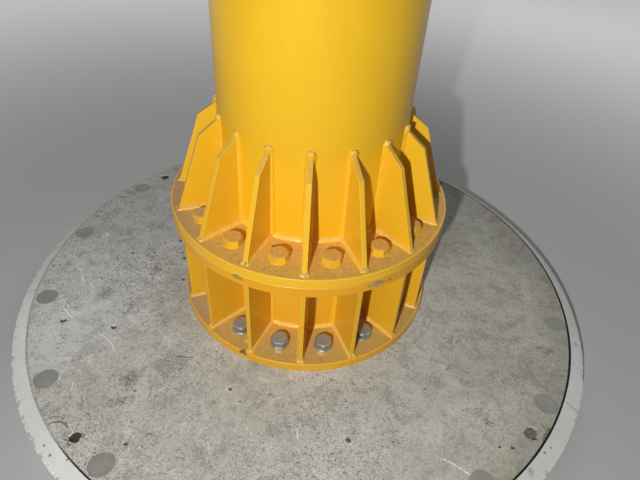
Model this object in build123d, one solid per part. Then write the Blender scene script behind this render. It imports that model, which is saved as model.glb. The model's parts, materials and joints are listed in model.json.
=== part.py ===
"""Foot of a pillar jib crane: a steel column on a gusseted pedestal and a round concrete plinth.

Millimetres. The origin is the middle of the plinth's underside, +Z is up, and -Y is the front.
Places round the column are given by an angle from the front, turning towards +X.
"""
from build123d import *
import math
import os

# Column: a round tube that stands on its own ring flange
column_dia = 508.0
column_wall = 12.5
column_length = 632.0

# Bolted joint between the column and the pedestal
joint_flange_dia = 800.0
column_flange_thick = 28.0
pedestal_flange_thick = 30.0
joint_bolt_edge = 65.0      # from the flanges' edge to the middle of a bolt hole
bolt_hole_dia = 33.0

# Pedestal under the joint
pedestal_height = 340.0     # from the plinth to the face that the column's flange rests on
base_flange_dia = 786.0
base_flange_thick = 30.0
anchor_bolt_edge = 68.0     # from the base flange's edge to the middle of an anchor hole

# Gusset ribs: one stands in front, and a bolt stands in each bay between two ribs
rib_count = 16
rib_thick = 15.0
column_rib_foot_edge = 16.0     # flange left bare outside the rib's foot
column_rib_knee_height = 213.0  # where the sloping outer edge turns in to the column
column_rib_knee_reach = 57.0    # how far the knee stands out from the column
column_rib_height = 256.0
pedestal_rib_edge = 11.0        # base flange left bare outside the rib

# Concrete plinth
plinth_height = 100.0
disc_dia = 1722.0
rim_width = 49.0
rim_step = 2.0              # the ring's inner edge lies this much under the slab's top
rim_fall = 30.0             # the ring's outer edge lies this much under the slab's top
joint_width = 4.0           # open joint between the slab and the ring, which meet at the foot

# Lifting sockets near the slab's edge
socket_count = 4
socket_edge = 35.0          # from the slab's edge to the middle of a socket
socket_dia = 30.0
socket_depth = 55.0
socket_angle = 48.4         # the first socket's place, from the front

column_r = column_dia / 2
bore_r = column_r - column_wall
disc_r = disc_dia / 2
rim_r = disc_r + rim_width
base_flange_r = base_flange_dia / 2
joint_flange_r = joint_flange_dia / 2

# Levels, from the plinth's underside upwards
level_plinth = plinth_height
level_base_flange = level_plinth + base_flange_thick
level_joint = level_plinth + pedestal_height
level_pedestal_flange = level_joint - pedestal_flange_thick
level_column_flange = level_joint + column_flange_thick


def place(radius, angle):
    """The point at this radius and this angle from the front, as x and y."""
    turn = math.radians(angle)
    return radius * math.sin(turn), -radius * math.cos(turn)


def round_the_axis(radius, count, first_angle):
    """Evenly spaced places on a circle."""
    step = 360.0 / count
    return [place(radius, first_angle + i * step) for i in range(count)]


def upright_cylinder(radius, low, high):
    """A cylinder on the vertical axis between two levels."""
    return extrude(Plane.XY.offset(low) * Circle(radius), high - low)


def ring(outer, inner, low, high):
    """A flat ring or a tube on the vertical axis."""
    return extrude(Plane.XY.offset(low) * (Circle(outer) - Circle(inner)), high - low)


def holes(centres, radius, low, high):
    """Upright cylinders to cut with, one at each centre."""
    outline = Sketch() + [Pos(x, y) * Circle(radius) for x, y in centres]
    return extrude(Plane.XY.offset(low) * outline, high - low)


def ring_flange(outer, low, thick, bolt_edge):
    """A ring plate with the tube's bore and one bolt hole in each bay."""
    centres = round_the_axis(outer - bolt_edge, rib_count, 180.0 / rib_count)
    return ring(outer, bore_r, low, low + thick) - holes(centres, bolt_hole_dia / 2, low, low + thick)


def rib(outline, index):
    """A gusset plate whose outline, as reach from the axis and height, stands at its own angle."""
    plate = extrude(Plane.XZ * make_face(Polyline(*outline, close=True)), rib_thick / 2, both=True)
    return Rot(0, 0, index * 360.0 / rib_count - 90.0) * plate


def column_rib(index):
    """A tapered gusset that carries the column on its flange."""
    floor = level_column_flange
    outline = [
        (column_r, floor),
        (joint_flange_r - column_rib_foot_edge, floor),
        (column_r + column_rib_knee_reach, floor + column_rib_knee_height),
        (column_r, floor + column_rib_height),
    ]
    return rib(outline, index)


def pedestal_rib(index):
    """A plain upright gusset between the pedestal's two flanges."""
    reach = base_flange_r - pedestal_rib_edge
    outline = [
        (column_r, level_base_flange),
        (reach, level_base_flange),
        (reach, level_pedestal_flange),
        (column_r, level_pedestal_flange),
    ]
    return rib(outline, index)


def plinth_disc():
    """The concrete slab, with its lifting sockets."""
    centres = round_the_axis(disc_r - socket_edge, socket_count, socket_angle)
    sockets = holes(centres, socket_dia / 2, plinth_height - socket_depth, plinth_height)
    return upright_cylinder(disc_r, 0, plinth_height) - sockets


def plinth_rim():
    """The ring cast round the slab: its top slopes out, and its inner face leans away from the slab."""
    outline = [
        (disc_r, 0),
        (rim_r, 0),
        (rim_r, plinth_height - rim_fall),
        (disc_r + joint_width, plinth_height - rim_step),
    ]
    return revolve(Plane.XZ * make_face(Polyline(*outline, close=True)), Axis.Z)


def build():
    """Every sub-part by its name."""
    parts = {
        "plinth_disc": plinth_disc(),
        "plinth_rim": plinth_rim(),
        "base_flange": ring_flange(base_flange_r, level_plinth, base_flange_thick, anchor_bolt_edge),
        "pedestal_drum": ring(column_r, bore_r, level_base_flange, level_pedestal_flange),
        "pedestal_flange": ring_flange(joint_flange_r, level_pedestal_flange, pedestal_flange_thick,
                                       joint_bolt_edge),
        "column_flange": ring_flange(joint_flange_r, level_joint, column_flange_thick, joint_bolt_edge),
        "column_tube": ring(column_r, bore_r, level_column_flange, level_column_flange + column_length),
    }
    for index in range(rib_count):
        parts[f"pedestal_rib_{index + 1:02d}"] = pedestal_rib(index)
        parts[f"column_rib_{index + 1:02d}"] = column_rib(index)
    return parts


os.makedirs("parts", exist_ok=True)
for name, shape in build().items():
    export_step(shape, f"parts/{name}.step")
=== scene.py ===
# %% [markdown]
# # The foot of a pillar jib crane
# The real thing is a yellow steel column on a ring of gussets. Two ring plates are bolted together
# under it, a short gusseted pedestal carries them, and all of it stands on a round concrete plinth.
# The CAD model gives every size. Here each plate gets its arrises, welds, bolts, paint, dust and
# wear, and none of it may leave the place that the CAD gives it. The CAD's own meshes could be
# bevelled, but they are loose triangles, so each piece is modelled anew from a simple outline.

# %% Load the frame
import json
import math

import bmesh
import bpy
from mathutils import Matrix, Vector, noise

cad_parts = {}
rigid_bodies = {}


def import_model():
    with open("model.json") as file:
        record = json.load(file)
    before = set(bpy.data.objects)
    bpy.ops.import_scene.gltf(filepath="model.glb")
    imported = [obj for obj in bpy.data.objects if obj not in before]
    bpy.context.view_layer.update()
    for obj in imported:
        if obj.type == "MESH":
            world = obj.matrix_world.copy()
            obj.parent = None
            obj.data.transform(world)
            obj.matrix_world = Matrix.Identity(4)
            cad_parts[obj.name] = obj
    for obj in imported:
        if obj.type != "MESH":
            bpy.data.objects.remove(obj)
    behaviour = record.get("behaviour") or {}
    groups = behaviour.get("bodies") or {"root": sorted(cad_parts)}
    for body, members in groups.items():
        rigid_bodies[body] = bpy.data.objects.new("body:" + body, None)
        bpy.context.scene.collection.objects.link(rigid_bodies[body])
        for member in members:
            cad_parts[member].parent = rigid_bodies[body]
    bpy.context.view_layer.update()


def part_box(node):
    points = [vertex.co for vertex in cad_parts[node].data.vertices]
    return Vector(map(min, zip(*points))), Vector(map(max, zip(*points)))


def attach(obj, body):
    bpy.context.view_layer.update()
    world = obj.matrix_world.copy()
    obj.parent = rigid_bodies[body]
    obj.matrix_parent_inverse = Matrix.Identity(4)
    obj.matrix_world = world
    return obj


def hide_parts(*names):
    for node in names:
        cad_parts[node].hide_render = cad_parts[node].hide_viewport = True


for leftover in list(bpy.data.objects):
    bpy.data.objects.remove(leftover)
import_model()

# %% [markdown]
# Heights and radii are read from the CAD nodes where a node's box gives them. The rest repeats the
# CAD source's own values, in metres. Only the gussets are drawn a little thinner than the CAD has
# them, because that is how they look. Typed numbers would do too, but a value that is read stays
# right when the CAD changes. Angles round the column start at the front, which is -Y, and turn
# towards +X.

# %% Levels and radii
PLINTH_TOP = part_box("plinth_disc")[1].z
BASE_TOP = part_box("base_flange")[1].z
JOINT_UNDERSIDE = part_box("pedestal_flange")[0].z
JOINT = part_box("column_flange")[0].z
FLANGE_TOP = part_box("column_flange")[1].z

SLAB_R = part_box("plinth_disc")[1].x
RIM_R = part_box("plinth_rim")[1].x
BASE_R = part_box("base_flange")[1].x
JOINT_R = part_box("column_flange")[1].x
COLUMN_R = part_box("column_tube")[1].x
COLUMN_WALL = 0.0125
BORE_R = COLUMN_R - COLUMN_WALL

BAYS = 16
BAY = math.tau / BAYS
COLUMN_RIB_HALF = 0.0067
PEDESTAL_RIB_HALF = 0.0061
JOINT_BOLT_EDGE, ANCHOR_BOLT_EDGE, PLUG_EDGE = 0.065, 0.068, 0.035
JOINT_BOLT_R = JOINT_R - JOINT_BOLT_EDGE
ANCHOR_BOLT_R = BASE_R - ANCHOR_BOLT_EDGE
PLUG_R = SLAB_R - PLUG_EDGE
SOCKET_ANGLE = math.radians(48.4)
print("levels", [round(z, 3) for z in (PLINTH_TOP, BASE_TOP, JOINT_UNDERSIDE, JOINT, FLANGE_TOP)])


def around(radius, angle, height=0.0):
    """The point at this radius and this angle from the front."""
    return Vector((radius * math.sin(angle), -radius * math.cos(angle), height))


# %% [markdown]
# It could be set by eye, but these numbers were fitted to the edges, ribs and bolts in the photo,
# which is closer. It is a wide lens, held a little askew, and it looks 40 degrees down at the
# joint. The matrix's columns are the camera's right, up and back directions, turned by the small
# roll.

# %% Camera
PITCH, YAW, ROLL = (math.radians(a) for a in (40.006, 1.409, 4.102))
forward = Vector((math.sin(YAW) * math.cos(PITCH), math.cos(YAW) * math.cos(PITCH), -math.sin(PITCH)))
level_right = Vector((math.cos(YAW), -math.sin(YAW), 0.0))
level_up = level_right.cross(forward)
right = math.cos(ROLL) * level_right + math.sin(ROLL) * level_up
up = math.cos(ROLL) * level_up - math.sin(ROLL) * level_right

camera_data = bpy.data.cameras.new("photo_camera")
camera_data.sensor_width = 36.0
camera_data.lens = 28.946
camera = bpy.data.objects.new("photo_camera", camera_data)
bpy.context.scene.collection.objects.link(camera)
turn = Matrix((right, up, -forward)).transposed().to_4x4()
camera.matrix_world = Matrix.Translation((0.0093, -1.2718, 1.3277)) @ turn
bpy.context.scene.camera = camera
print("camera at", tuple(round(x, 3) for x in camera.matrix_world.translation))

# %% [markdown]
# A finish is a tree of shader nodes. Each node could be made and joined by hand, but that takes
# several lines a node and soon hides what the finish is. So the helpers here add their nodes to the
# tree that was opened last. What comes out of a node is wrapped as a signal, which can be added,
# taken away and multiplied like a number: each such sum is one more Math node.

# %% Signals
tree = None


def open_tree(new_tree):
    """Every node that the helpers add from here on goes into this tree."""
    global tree
    tree = new_tree


class Signal:
    """What comes out of a node."""

    def __init__(self, socket):
        self.socket = socket

    def __add__(self, other):
        return calc("ADD", self, other)

    def __sub__(self, other):
        return calc("SUBTRACT", self, other)

    def __rsub__(self, other):
        return calc("SUBTRACT", other, self)

    def __mul__(self, other):
        return calc("MULTIPLY", self, other)

    def __truediv__(self, other):
        return calc("DIVIDE", self, other)

    def __abs__(self):
        return calc("ABSOLUTE", self)

    __radd__, __rmul__ = __add__, __mul__


def feed(socket, value):
    """Joins a signal to this input, or sets the input to a number, a place or a colour."""
    if isinstance(value, Signal):
        tree.links.new(value.socket, socket)
    else:
        socket.default_value = (*value, 1.0) if socket.type == "RGBA" else value


def add(kind, inputs=None, give=0, **settings):
    """Adds a node of this kind, and gives back one of its outputs, or all by name if give is None."""
    node = tree.nodes.new("ShaderNode" + kind)
    for name, value in settings.items():
        setattr(node, name, value)
    for name, value in (inputs or {}).items():
        feed(node.inputs[name], value)
    if give is None:
        return {output.name: Signal(output) for output in node.outputs}
    return Signal(node.outputs[give])


def calc(operation, *values):
    """One sum with numbers."""
    return add("Math", dict(enumerate(values)), operation=operation)


def vectors(operation, *values, give="Vector"):
    """One sum with vectors."""
    return add("VectorMath", dict(enumerate(values)), give, operation=operation)


def strongest(first, *others):
    """The highest of these signals."""
    for other in others:
        first = calc("MAXIMUM", first, other)
    return first


print("signals are ready")

# %% [markdown]
# The next helpers name what a shader tree does most: a soft step, a mix of two colours, noise, and
# the place on the piece that a pattern reads. A place may be seen from above, so that a pattern
# ignores its height.

# %% Steps, mixes and places


def rise(value, low, high):
    """0 under low, 1 over high, and a soft step between them."""
    inputs = {"Value": value, "From Min": low, "From Max": high}
    return add("MapRange", inputs, "Result", interpolation_type="SMOOTHSTEP")


def mix(share, first, second):
    """The first colour, with this share of the second."""
    return add("Mix", {0: share, 6: first, 7: second}, 2, data_type="RGBA")


def tinted(colour, share, tint):
    """The colour multiplied by a tint, as far as the share says."""
    return vectors("MULTIPLY", colour, mix(share, (1.0, 1.0, 1.0), tint))


def grain(place, scale, detail=4.0, roughness=0.55, distortion=0.0):
    """Fractal noise from 0 to 1 at this place."""
    inputs = {"Vector": place, "Scale": scale, "Detail": detail, "Roughness": roughness, "Distortion": distortion}
    return add("TexNoise", inputs)


def place_on_piece():
    """Where on the object a point lies, in metres."""
    return add("TexCoord", give="Object")


def attribute(name):
    """A number that the piece's mesh carries."""
    return add("Attribute", give="Fac", attribute_name=name, attribute_type="GEOMETRY")


def axes(place):
    """How far a place lies to the right, to the back and up."""
    parts = add("SeparateXYZ", {0: place}, None)
    return parts["X"], parts["Y"], parts["Z"]


def length(vector):
    return vectors("LENGTH", vector, give="Value")


def seen_from_above(vector):
    return vectors("MULTIPLY", vector, (1.0, 1.0, 0.0))


def from_axis(place):
    """The distance from the column's axis."""
    return length(seen_from_above(place))


def relief(height, depth):
    """A bump whose full height is this depth in metres."""
    return add("Bump", {"Height": height, "Distance": depth, "Strength": 1.0}, "Normal")


print("shader helpers are ready")

# %% [markdown]
# An effect that several finishes share is a node group, built once with named inputs. Its nodes
# could be copied into each material, but then a change would have to be made in all of them. A
# finish is a material with one Principled shader, whose plain values are set as it is made.

# %% Groups and materials


def new_group(name, **inputs):
    """Opens an empty node group whose named inputs start at these values."""
    group = bpy.data.node_groups.new(name, "ShaderNodeTree")
    open_tree(group)
    for label, value in inputs.items():
        kind = "NodeSocketVector" if isinstance(value, tuple) else "NodeSocketFloat"
        group.interface.new_socket(label, in_out="INPUT", socket_type=kind).default_value = value
    group.interface.new_socket("Mask", in_out="OUTPUT", socket_type="NodeSocketFloat")
    ways_in = group.nodes.new("NodeGroupInput").outputs
    return group, {label: Signal(ways_in[label]) for label in inputs}


def put_out(group, mask):
    """Ends a group: this mask is what it gives."""
    feed(group.nodes.new("NodeGroupOutput").inputs["Mask"], mask)
    print("group", group.name, "has", len(group.nodes), "nodes")


def use(group, **inputs):
    """A group placed in the open tree with its own values."""
    node = tree.nodes.new("ShaderNodeGroup")
    node.node_tree = group
    for name, value in inputs.items():
        feed(node.inputs[name], value)
    return Signal(node.outputs[0])


def new_material(name, **constants):
    """Opens a new material, and gives it with its shader's inputs and the place on the piece."""
    material = bpy.data.materials.new(name)
    material.use_nodes = True
    open_tree(material.node_tree)
    shader = tree.nodes["Principled BSDF"].inputs
    for label, value in constants.items():
        feed(shader[label.replace("_", " ")], value)
    return material, shader, place_on_piece()


print("groups and materials can be made")

# %% [markdown]
# The shadows of the ribs and bolts tell where the lamp stood: to the left of the camera and a
# little lower. Its place was found by throwing the corners of ribs and heads on the plates behind
# them until the shadows fell where the photo has them. It is small, because they are crisp. A real
# lamp's light falls off with the square of the distance, which would leave the far side of the
# plinth dark. A falloff with the distance itself stands in for the light that a shop's walls throw
# back. A wide, weak lamp behind keeps the far side readable.

# %% Lamps


def hang_lamp(name, place, size, power):
    """A round lamp at this place, aimed at the middle of the joint."""
    lamp_data = bpy.data.lights.new(name, "AREA")
    lamp_data.shape, lamp_data.size, lamp_data.energy = "DISK", size, power
    lamp_data.use_nodes = True
    open_tree(lamp_data.node_tree)
    feed(tree.nodes["Emission"].inputs["Strength"], add("LightFalloff", {"Strength": 1.0}, "Linear"))
    lamp = bpy.data.objects.new(name, lamp_data)
    lamp.location = place
    lamp.rotation_euler = (Vector((0.0, 0.0, 0.4)) - Vector(place)).to_track_quat("-Z", "Y").to_euler()
    bpy.context.scene.collection.objects.link(lamp)
    print(name, "at", place)


hang_lamp("key_lamp", (-0.373, -1.975, 1.478), 0.06, 18.3)
hang_lamp("back_lamp", (1.6, 3.4, 2.5), 3.0, 8.0)

# %% [markdown]
# The world is a pale room. Straight on, in a gloss and through glass it is seen at its own bright
# level. The light that it throws on matt faces is far weaker, so that the lamp's shadows stay deep.

# %% World
WORLD_FILL, WORLD_SEEN = 0.075, 0.55

world = bpy.data.worlds.new("pale_room")
world.use_nodes = True
open_tree(world.node_tree)
rays = add("LightPath", give=None)
seen = strongest(rays["Is Camera Ray"], rays["Is Glossy Ray"], rays["Is Transmission Ray"])
background = tree.nodes["Background"].inputs
feed(background["Color"], (0.93, 0.95, 1.0))
feed(background["Strength"], seen * (WORLD_SEEN - WORLD_FILL) + WORLD_FILL)
bpy.context.scene.world = world
bpy.context.scene.view_settings.view_transform = "Standard"
print("world fills in with", WORLD_FILL, "and is seen at", WORLD_SEEN)

# %% [markdown]
# Dust lies on what faces up. It could be painted on an image, but a rule fits every piece and needs
# no image. The group compares the surface's normal with the vertical: flat tops get the full
# layer, a steep weld gets a trace, and noise leaves it a little patchy.

# %% Group: settled dust
settled_dust, given = new_group("settled_dust", Patchiness=0.3)
facing_up = axes(add("NewGeometry", give="Normal"))[2]
patches = rise(grain(place_on_piece(), 16.0, 6.0, 0.65), 0.5, 0.72)
put_out(settled_dust, rise(facing_up, 0.45, 0.97) * (1.0 - patches * given["Patchiness"]))

# %% [markdown]
# A blot is one ragged spot at a chosen place, such as a chip in the paint or a stain. A texture of
# random spots couldn't put it there, so the group measures the distance from the place, and noise
# frays it. Its size has three half-widths, so it can be long and low on the edge of a plate.

# %% Group: blot
blot, given = new_group("blot", Place=(0, 0, 0), Size=(0.01, 0.01, 0.01), Ragged=0.8, Softness=0.2)
place = place_on_piece()
reach = length(vectors("DIVIDE", vectors("SUBTRACT", place, given["Place"]), given["Size"]))
reach = reach + (grain(place, 95.0, 5.0, 0.6) - 0.5) * given["Ragged"] * 2.0
put_out(blot, 1.0 - rise(reach, 1.0 - given["Softness"], 1.0))

# %% [markdown]
# A stroke is a scratch or a hairline crack between two places, seen from above. A groove in the
# mesh would need very many small faces, and a mask needs none. It may bow out to one side, its
# width wanders, and it fades where noise breaks it.

# %% Group: stroke
stroke, given = new_group("stroke", From=(0, 0, 0), To=(1, 0, 0), Bow=0.0, Width=0.003, Breaks=0.5)
place = place_on_piece()
run = seen_from_above(vectors("SUBTRACT", given["To"], given["From"]))
here = seen_from_above(vectors("SUBTRACT", place, given["From"]))
run_length = length(run)
share = vectors("DOT_PRODUCT", run, here, give="Value") / (run_length * run_length)
across = axes(vectors("CROSS_PRODUCT", run, here))[2] / run_length
across = across - share * (1.0 - share) * 4.0 * given["Bow"]
wander = (grain(place, 45.0, 3.0) - 0.5) * 0.008
on_line = 1.0 - rise(abs(across + wander), given["Width"] * 0.25, given["Width"] * 0.6)
between_ends = rise(share, 0.0, 0.06) * (1.0 - rise(share, 0.92, 1.0))
broken = rise(grain(place, 150.0, 2.0), 0.52, 0.42) * given["Breaks"]
put_out(stroke, on_line * between_ends * (1.0 - broken))

# %% [markdown]
# Something round that was set down leaves a thin ring. This is the blot's distance again, kept only
# near one radius and broken up by noise.

# %% Group: ring mark
ring_mark, given = new_group("ring_mark", Place=(0, 0, 0), Radius=0.05, Width=0.002)
place = place_on_piece()
off = abs(length(vectors("SUBTRACT", place, given["Place"])) - given["Radius"])
near = 1.0 - rise(off, given["Width"] * 0.3, given["Width"])
put_out(ring_mark, near * rise(grain(place, 70.0, 3.0), 0.42, 0.56))

# %% [markdown]
# Fine hairs cover old concrete: short scratches, fibres and crazing. They are too many to place one
# by one. A hair is the line along which a warped noise crosses its middle value, and a second noise
# keeps only short lengths of it.

# %% Group: fine hairs
fine_hairs, given = new_group("fine_hairs", Scale=30.0, Width=0.012, Amount=0.5, Shift=0.0)
moved = vectors("ADD", place_on_piece(), add("CombineXYZ", {0: given["Shift"]}))
warped = grain(moved, given["Scale"], 2.0, 0.5, distortion=1.4)
line = 1.0 - rise(abs(warped - 0.5), given["Width"] * 0.3, given["Width"])
limit = 0.66 - given["Amount"] * 0.22
put_out(fine_hairs, line * rise(grain(moved, 26.0, 3.0), limit, limit + 0.05))

# %% [markdown]
# Concrete has small air holes, and cast mortar has fewer. Cut into the mesh they would make it
# huge. Voronoi cells give one round spot a cell, and each cell's random colour decides whether it
# keeps its hole and how large it is.

# %% Group: air holes
air_holes, given = new_group("air_holes", Scale=60.0, Share=0.2, Radius=0.15)
cells = add("TexVoronoi", {"Vector": place_on_piece(), "Scale": given["Scale"]}, None)
chance = axes(cells["Color"])[0]
size = chance / given["Share"] * given["Radius"]
put_out(air_holes, (1.0 - rise(cells["Distance"], size * 0.5, size)) * calc("LESS_THAN", chance, given["Share"]))

# %% [markdown]
# Paint chips first along an arris. Pointiness could find the arrises, but it changes with how
# dense a mesh is. So the pieces below mark their rounded arrises with 1 in an attribute, and this
# group keeps a few spots of it, so that the steel shows through only there.

# %% Group: worn arris
worn_arris, given = new_group("worn_arris", Amount=0.5)
place = place_on_piece()
spots = grain(place, 34.0, 4.0, 0.6) * grain(place, 130.0, 2.0)
limit = 0.46 - given["Amount"] * 0.14
put_out(worn_arris, rise(spots, limit, limit + 0.02) * rise(attribute("arris"), 0.3, 0.9))

# %% [markdown]
# The column, the flanges, the ribs and the upper bolts wear one coat of signal yellow enamel. It
# is smooth and half glossy, a little more orange in places, and dulled by tan dust on every top.
# Separate materials could be built for all of them, but one function keeps them the same paint,
# with more or less dust and wear:
#
# - `foot` is painted shade: the colour the column is drawn in towards its lower end, darker because less lamp
#   light reaches it there.
# - `dust_tint` and `pale_dust` are the two colours between which the dust changes from spot to spot.
# - `marks` are the places where the photo shows something on the paint. Chips bare the steel, rubs
#   are brown and soft, scuffs are streaked, smears are pale, and clean spots have lost their dust.
# - `clean_edge` is the radius at which feet and rags keep a plate's rounded edge free of dust.
# - `seam` is the level at which two plates meet. A dark line is painted there on the right, as shade in the seam.

# %% Enamel colours
YELLOW = (0.88, 0.50, 0.022)
ORANGE_YELLOW = (0.75, 0.375, 0.024)
DEEP_YELLOW = (0.83, 0.43, 0.012)
TAN_DUST, PALE_DUST, GREY_DUST = (0.65, 0.39, 0.080), (0.74, 0.475, 0.135), (0.44, 0.325, 0.220)
BARE_STEEL = (0.10, 0.075, 0.045)


def spots_of(marks, softness):
    """One mask with every blot of a list of (place, size, raggedness)."""
    blots = [use(blot, Place=at, Size=size, Ragged=ragged, Softness=softness) for at, size, ragged in marks]
    return strongest(*blots)


def speckled_dust(place, dust_tint, pale_dust):
    """The colour of the dust: finer and coarser bits, greyer on the left, and dark specks."""
    colour = mix(rise(grain(place, 90.0, 6.0, 0.7), 0.38, 0.66), dust_tint, pale_dust)
    colour = mix(rise(axes(place)[0], -0.20, -0.36) * 0.65, colour, GREY_DUST)
    return mix(rise(grain(place, 200.0, 2.0), 0.660, 0.685) * 0.75, colour, (0.11, 0.070, 0.030))


def with_marks(colour, place, marks):
    """The paint's colour with its smears, rubs and scuffs."""
    if "smears" in marks:
        colour = mix(spots_of(marks["smears"], 0.8) * 0.6, colour, (0.85, 0.66, 0.33))
    if "rubs" in marks:
        colour = mix(spots_of(marks["rubs"], 0.35) * 0.80, colour, (0.36, 0.245, 0.055))
    if "scuffs" in marks:
        streaks = grain(vectors("MULTIPLY", place, (60.0, 60.0, 900.0)), 1.0, 4.0, 0.6)
        scraped = mix(rise(streaks, 0.50, 0.60), (0.20, 0.120, 0.030), (0.74, 0.60, 0.36))
        colour = mix(spots_of(marks["scuffs"], 0.35) * 0.8, colour, scraped)
    return colour


def painted_seam_shade(place, seam):
    """Painted shade in the seam: a thin uneven dark line at this level, on the right."""
    to_right, _, to_top = axes(place)
    line = rise(abs(to_top - seam) - grain(place, 60.0, 3.0) * 0.0024, 0.0006, -0.0006)
    return line * rise(to_right, 0.02, 0.20)


print("dust from", TAN_DUST, "to", PALE_DUST)

# %% [markdown]
# The coats differ only in these values, so one function lays them all. Dust is rough and hides the
# gloss, a chip lies lower than the paint, and on a weld the bump follows the ripples of its run.

# %% Yellow enamel
WELD_RIPPLE = 0.006


def enamel(name, dust=0.8, patchiness=0.3, wear=0.5, ripples=False, marks=None, clean_edge=None, tint=YELLOW,
           dust_tint=TAN_DUST, pale_dust=PALE_DUST, seam=None, foot=None):
    """Yellow enamel with its own share of dust and wear."""
    marks = marks or {}
    material, shader, place = new_material(name, Coat_Roughness=0.14, Specular_IOR_Level=0.26)
    cloud = rise(grain(place, 5.0, 4.0), 0.35, 0.75)
    colour = mix(cloud * 0.45, tint, DEEP_YELLOW)
    # Painted shade: the column grows darker towards its lower end.
    if foot:
        colour = mix(rise(axes(place)[2], 1.02, 0.62), colour, foot)
    colour = mix(rise(grain(place, 48.0, 6.0, 0.7), 0.56, 0.78) * 0.14, colour, (0.42, 0.24, 0.05))
    # Painted highlight: rounded arrises are drawn paler, and partly the paint is rubbed thin there.
    colour = mix(attribute("arris") * 0.35, colour, (0.95, 0.66, 0.12))
    dusty = use(settled_dust, Patchiness=patchiness) * dust
    if clean_edge:
        dusty = dusty * rise(from_axis(place), clean_edge - 0.0025, clean_edge - 0.0065)
    if "clean" in marks:
        dusty = dusty * (1.0 - spots_of(marks["clean"], 0.3))
    colour = mix(dusty, colour, speckled_dust(place, dust_tint, pale_dust))
    colour = with_marks(colour, place, marks)
    # Painted shade: the seam between two plates is drawn dark on the right.
    if seam:
        colour = mix(painted_seam_shade(place, seam) * 0.7, colour, (0.20, 0.090, 0.010))
    chipped = use(worn_arris, Amount=wear)
    if "chips" in marks:
        chipped = strongest(chipped, spots_of(marks["chips"], 0.15))
    feed(shader["Base Color"], mix(chipped * 0.85, colour, BARE_STEEL))
    feed(shader["Roughness"], dusty * 0.52 + 0.33 + cloud * 0.08)
    feed(shader["Coat Weight"], (1.0 - dusty) * 0.12)
    height = grain(place, 260.0, 2.0) * 0.12 + grain(place, 22.0, 2.0) * 0.5 - chipped * 0.5
    if ripples:
        phase = attribute("along") * (math.tau / WELD_RIPPLE) + grain(place, 60.0, 2.0) * 3.0
        height = height + calc("SINE", phase) * 0.16
    feed(shader["Normal"], relief(height, 0.0011))
    return material


print("enamel can be laid")

# %% [markdown]
# The marks stand where the photo shows them: a chip and a rub on the joint's left edge, a scuff on
# its right, a chip in front of the base, and a few smears and one clean spot in the base's dust.
# Random wear alone would look as old, but not like this crane. Then every coat is mixed.

# %% Marks on the paint
COLUMN_FLANGE_MARKS = {"chips": [((-0.082, -0.282, FLANGE_TOP), (0.0066, 0.0056, 0.01), 0.5)]}
JOINT_MARKS = {
    "rubs": [((-0.164, -0.365, 0.4310), (0.023, 0.016, 0.0092), 0.4)],
    "scuffs": [((0.182, -0.356, 0.4270), (0.036, 0.026, 0.0105), 1.0)],
    "chips": [
        ((-0.168, -0.363, 0.4372), (0.0085, 0.008, 0.0018), 0.9),
        ((0.216, -0.337, 0.4270), (0.0050, 0.004, 0.0025), 1.1),
    ],
}
BASE_MARKS = {
    "chips": [((-0.166, -0.3565, 0.1240), (0.017, 0.010, 0.0075), 0.7)],
    "smears": [
        ((0.058, -0.352, BASE_TOP), (0.018, 0.010, 0.01), 0.5),
        ((-0.064, -0.353, BASE_TOP), (0.016, 0.007, 0.01), 0.5),
        ((-0.150, -0.320, BASE_TOP), (0.022, 0.010, 0.01), 0.6),
    ],
    "clean": [((-0.138, -0.368, BASE_TOP), (0.018, 0.014, 0.01), 0.4)],
}
# The pedestal, the joint's lower plate and the base get darker, more orange tints, and the base gets darker dust.
# This is partly painted shade, since less lamp light reaches them low down, and partly the paint's own orange.
column_enamel = enamel("yellow_enamel_column", dust=0.0, wear=0.2, tint=(0.90, 0.545, 0.019),
                       foot=(0.85, 0.475, 0.014))
column_plate_enamel = enamel("yellow_enamel_column_ribs", dust=0.68, wear=0.35, dust_tint=(0.50, 0.36, 0.075))
pedestal_enamel = enamel("yellow_enamel_pedestal", dust=0.5, tint=(0.77, 0.41, 0.022))
column_flange_enamel = enamel("yellow_enamel_column_flange", dust=0.95, patchiness=0.25,
                              marks=COLUMN_FLANGE_MARKS, clean_edge=JOINT_R, seam=JOINT)
joint_enamel = enamel("yellow_enamel_joint", dust=0.95, marks=JOINT_MARKS, clean_edge=JOINT_R,
                      tint=(0.80, 0.375, 0.012), seam=JOINT)
base_enamel = enamel("yellow_enamel_base", dust=0.95, patchiness=0.25, marks=BASE_MARKS, clean_edge=BASE_R,
                     tint=ORANGE_YELLOW, dust_tint=(0.53, 0.335, 0.090), pale_dust=(0.61, 0.395, 0.120))
weld_enamel = enamel("yellow_enamel_weld", dust=0.80, patchiness=0.5, wear=0.0, ripples=True,
                     tint=(0.87, 0.515, 0.026), dust_tint=(0.60, 0.44, 0.165), pale_dust=(0.76, 0.59, 0.265))
bolt_enamel = enamel("yellow_enamel_bolt", dust=0.97, patchiness=0.1, wear=0.25)
print("enamels", len([m for m in bpy.data.materials if m.name.startswith("yellow_enamel")]))

# %% [markdown]
# Every new piece is made the same way at its end: its faces are turned outwards, the smooth parts
# are shaded smooth, and the object is left at the origin with its place in its mesh. Many more
# faces could round the arrises as well, but a Weighted Normal modifier does it with few: it keeps
# wide faces flat between rounded arrises.

# %% Finish a piece


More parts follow.
